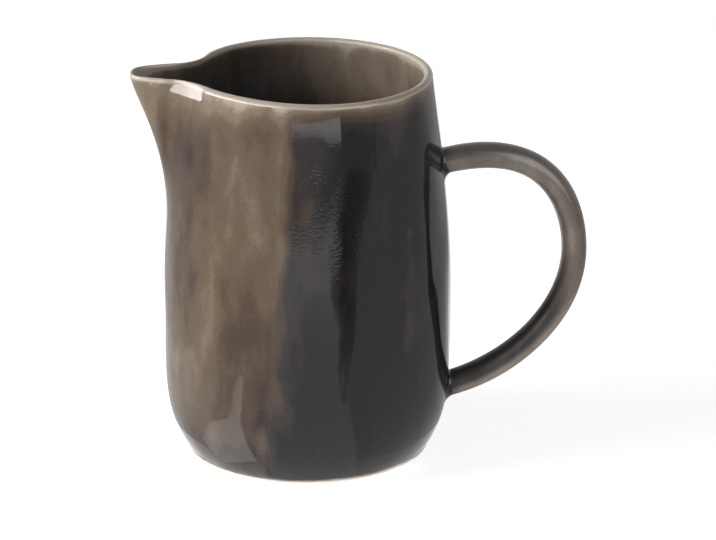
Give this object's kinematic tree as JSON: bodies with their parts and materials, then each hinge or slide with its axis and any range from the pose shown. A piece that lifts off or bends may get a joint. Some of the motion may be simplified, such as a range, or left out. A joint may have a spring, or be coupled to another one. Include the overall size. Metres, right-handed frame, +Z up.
{
  "type": "water pitcher",
  "caption": "Glazed stoneware water pitcher: full rounded body, pinched pouring spout pulled from the rim, foot ring and a loop handle luted on opposite the spout.",
  "frame": {"origin": "on the table, under the middle of the pitcher's length from spout to handle", "axes": "+X from the spout towards the handle, +Y across, +Z up out of the mouth"},
  "size_m": [0.1878, 0.1188, 0.1642],
  "materials": {
    "glaze": "gloss",
    "pooled_glaze": "gloss"
  },
  "bodies": {
    "root": {"body": "glaze", "handle": "glaze", "upper_luting_joint": "pooled_glaze", "lower_luting_joint": "pooled_glaze"}
  },
  "joints": []
}
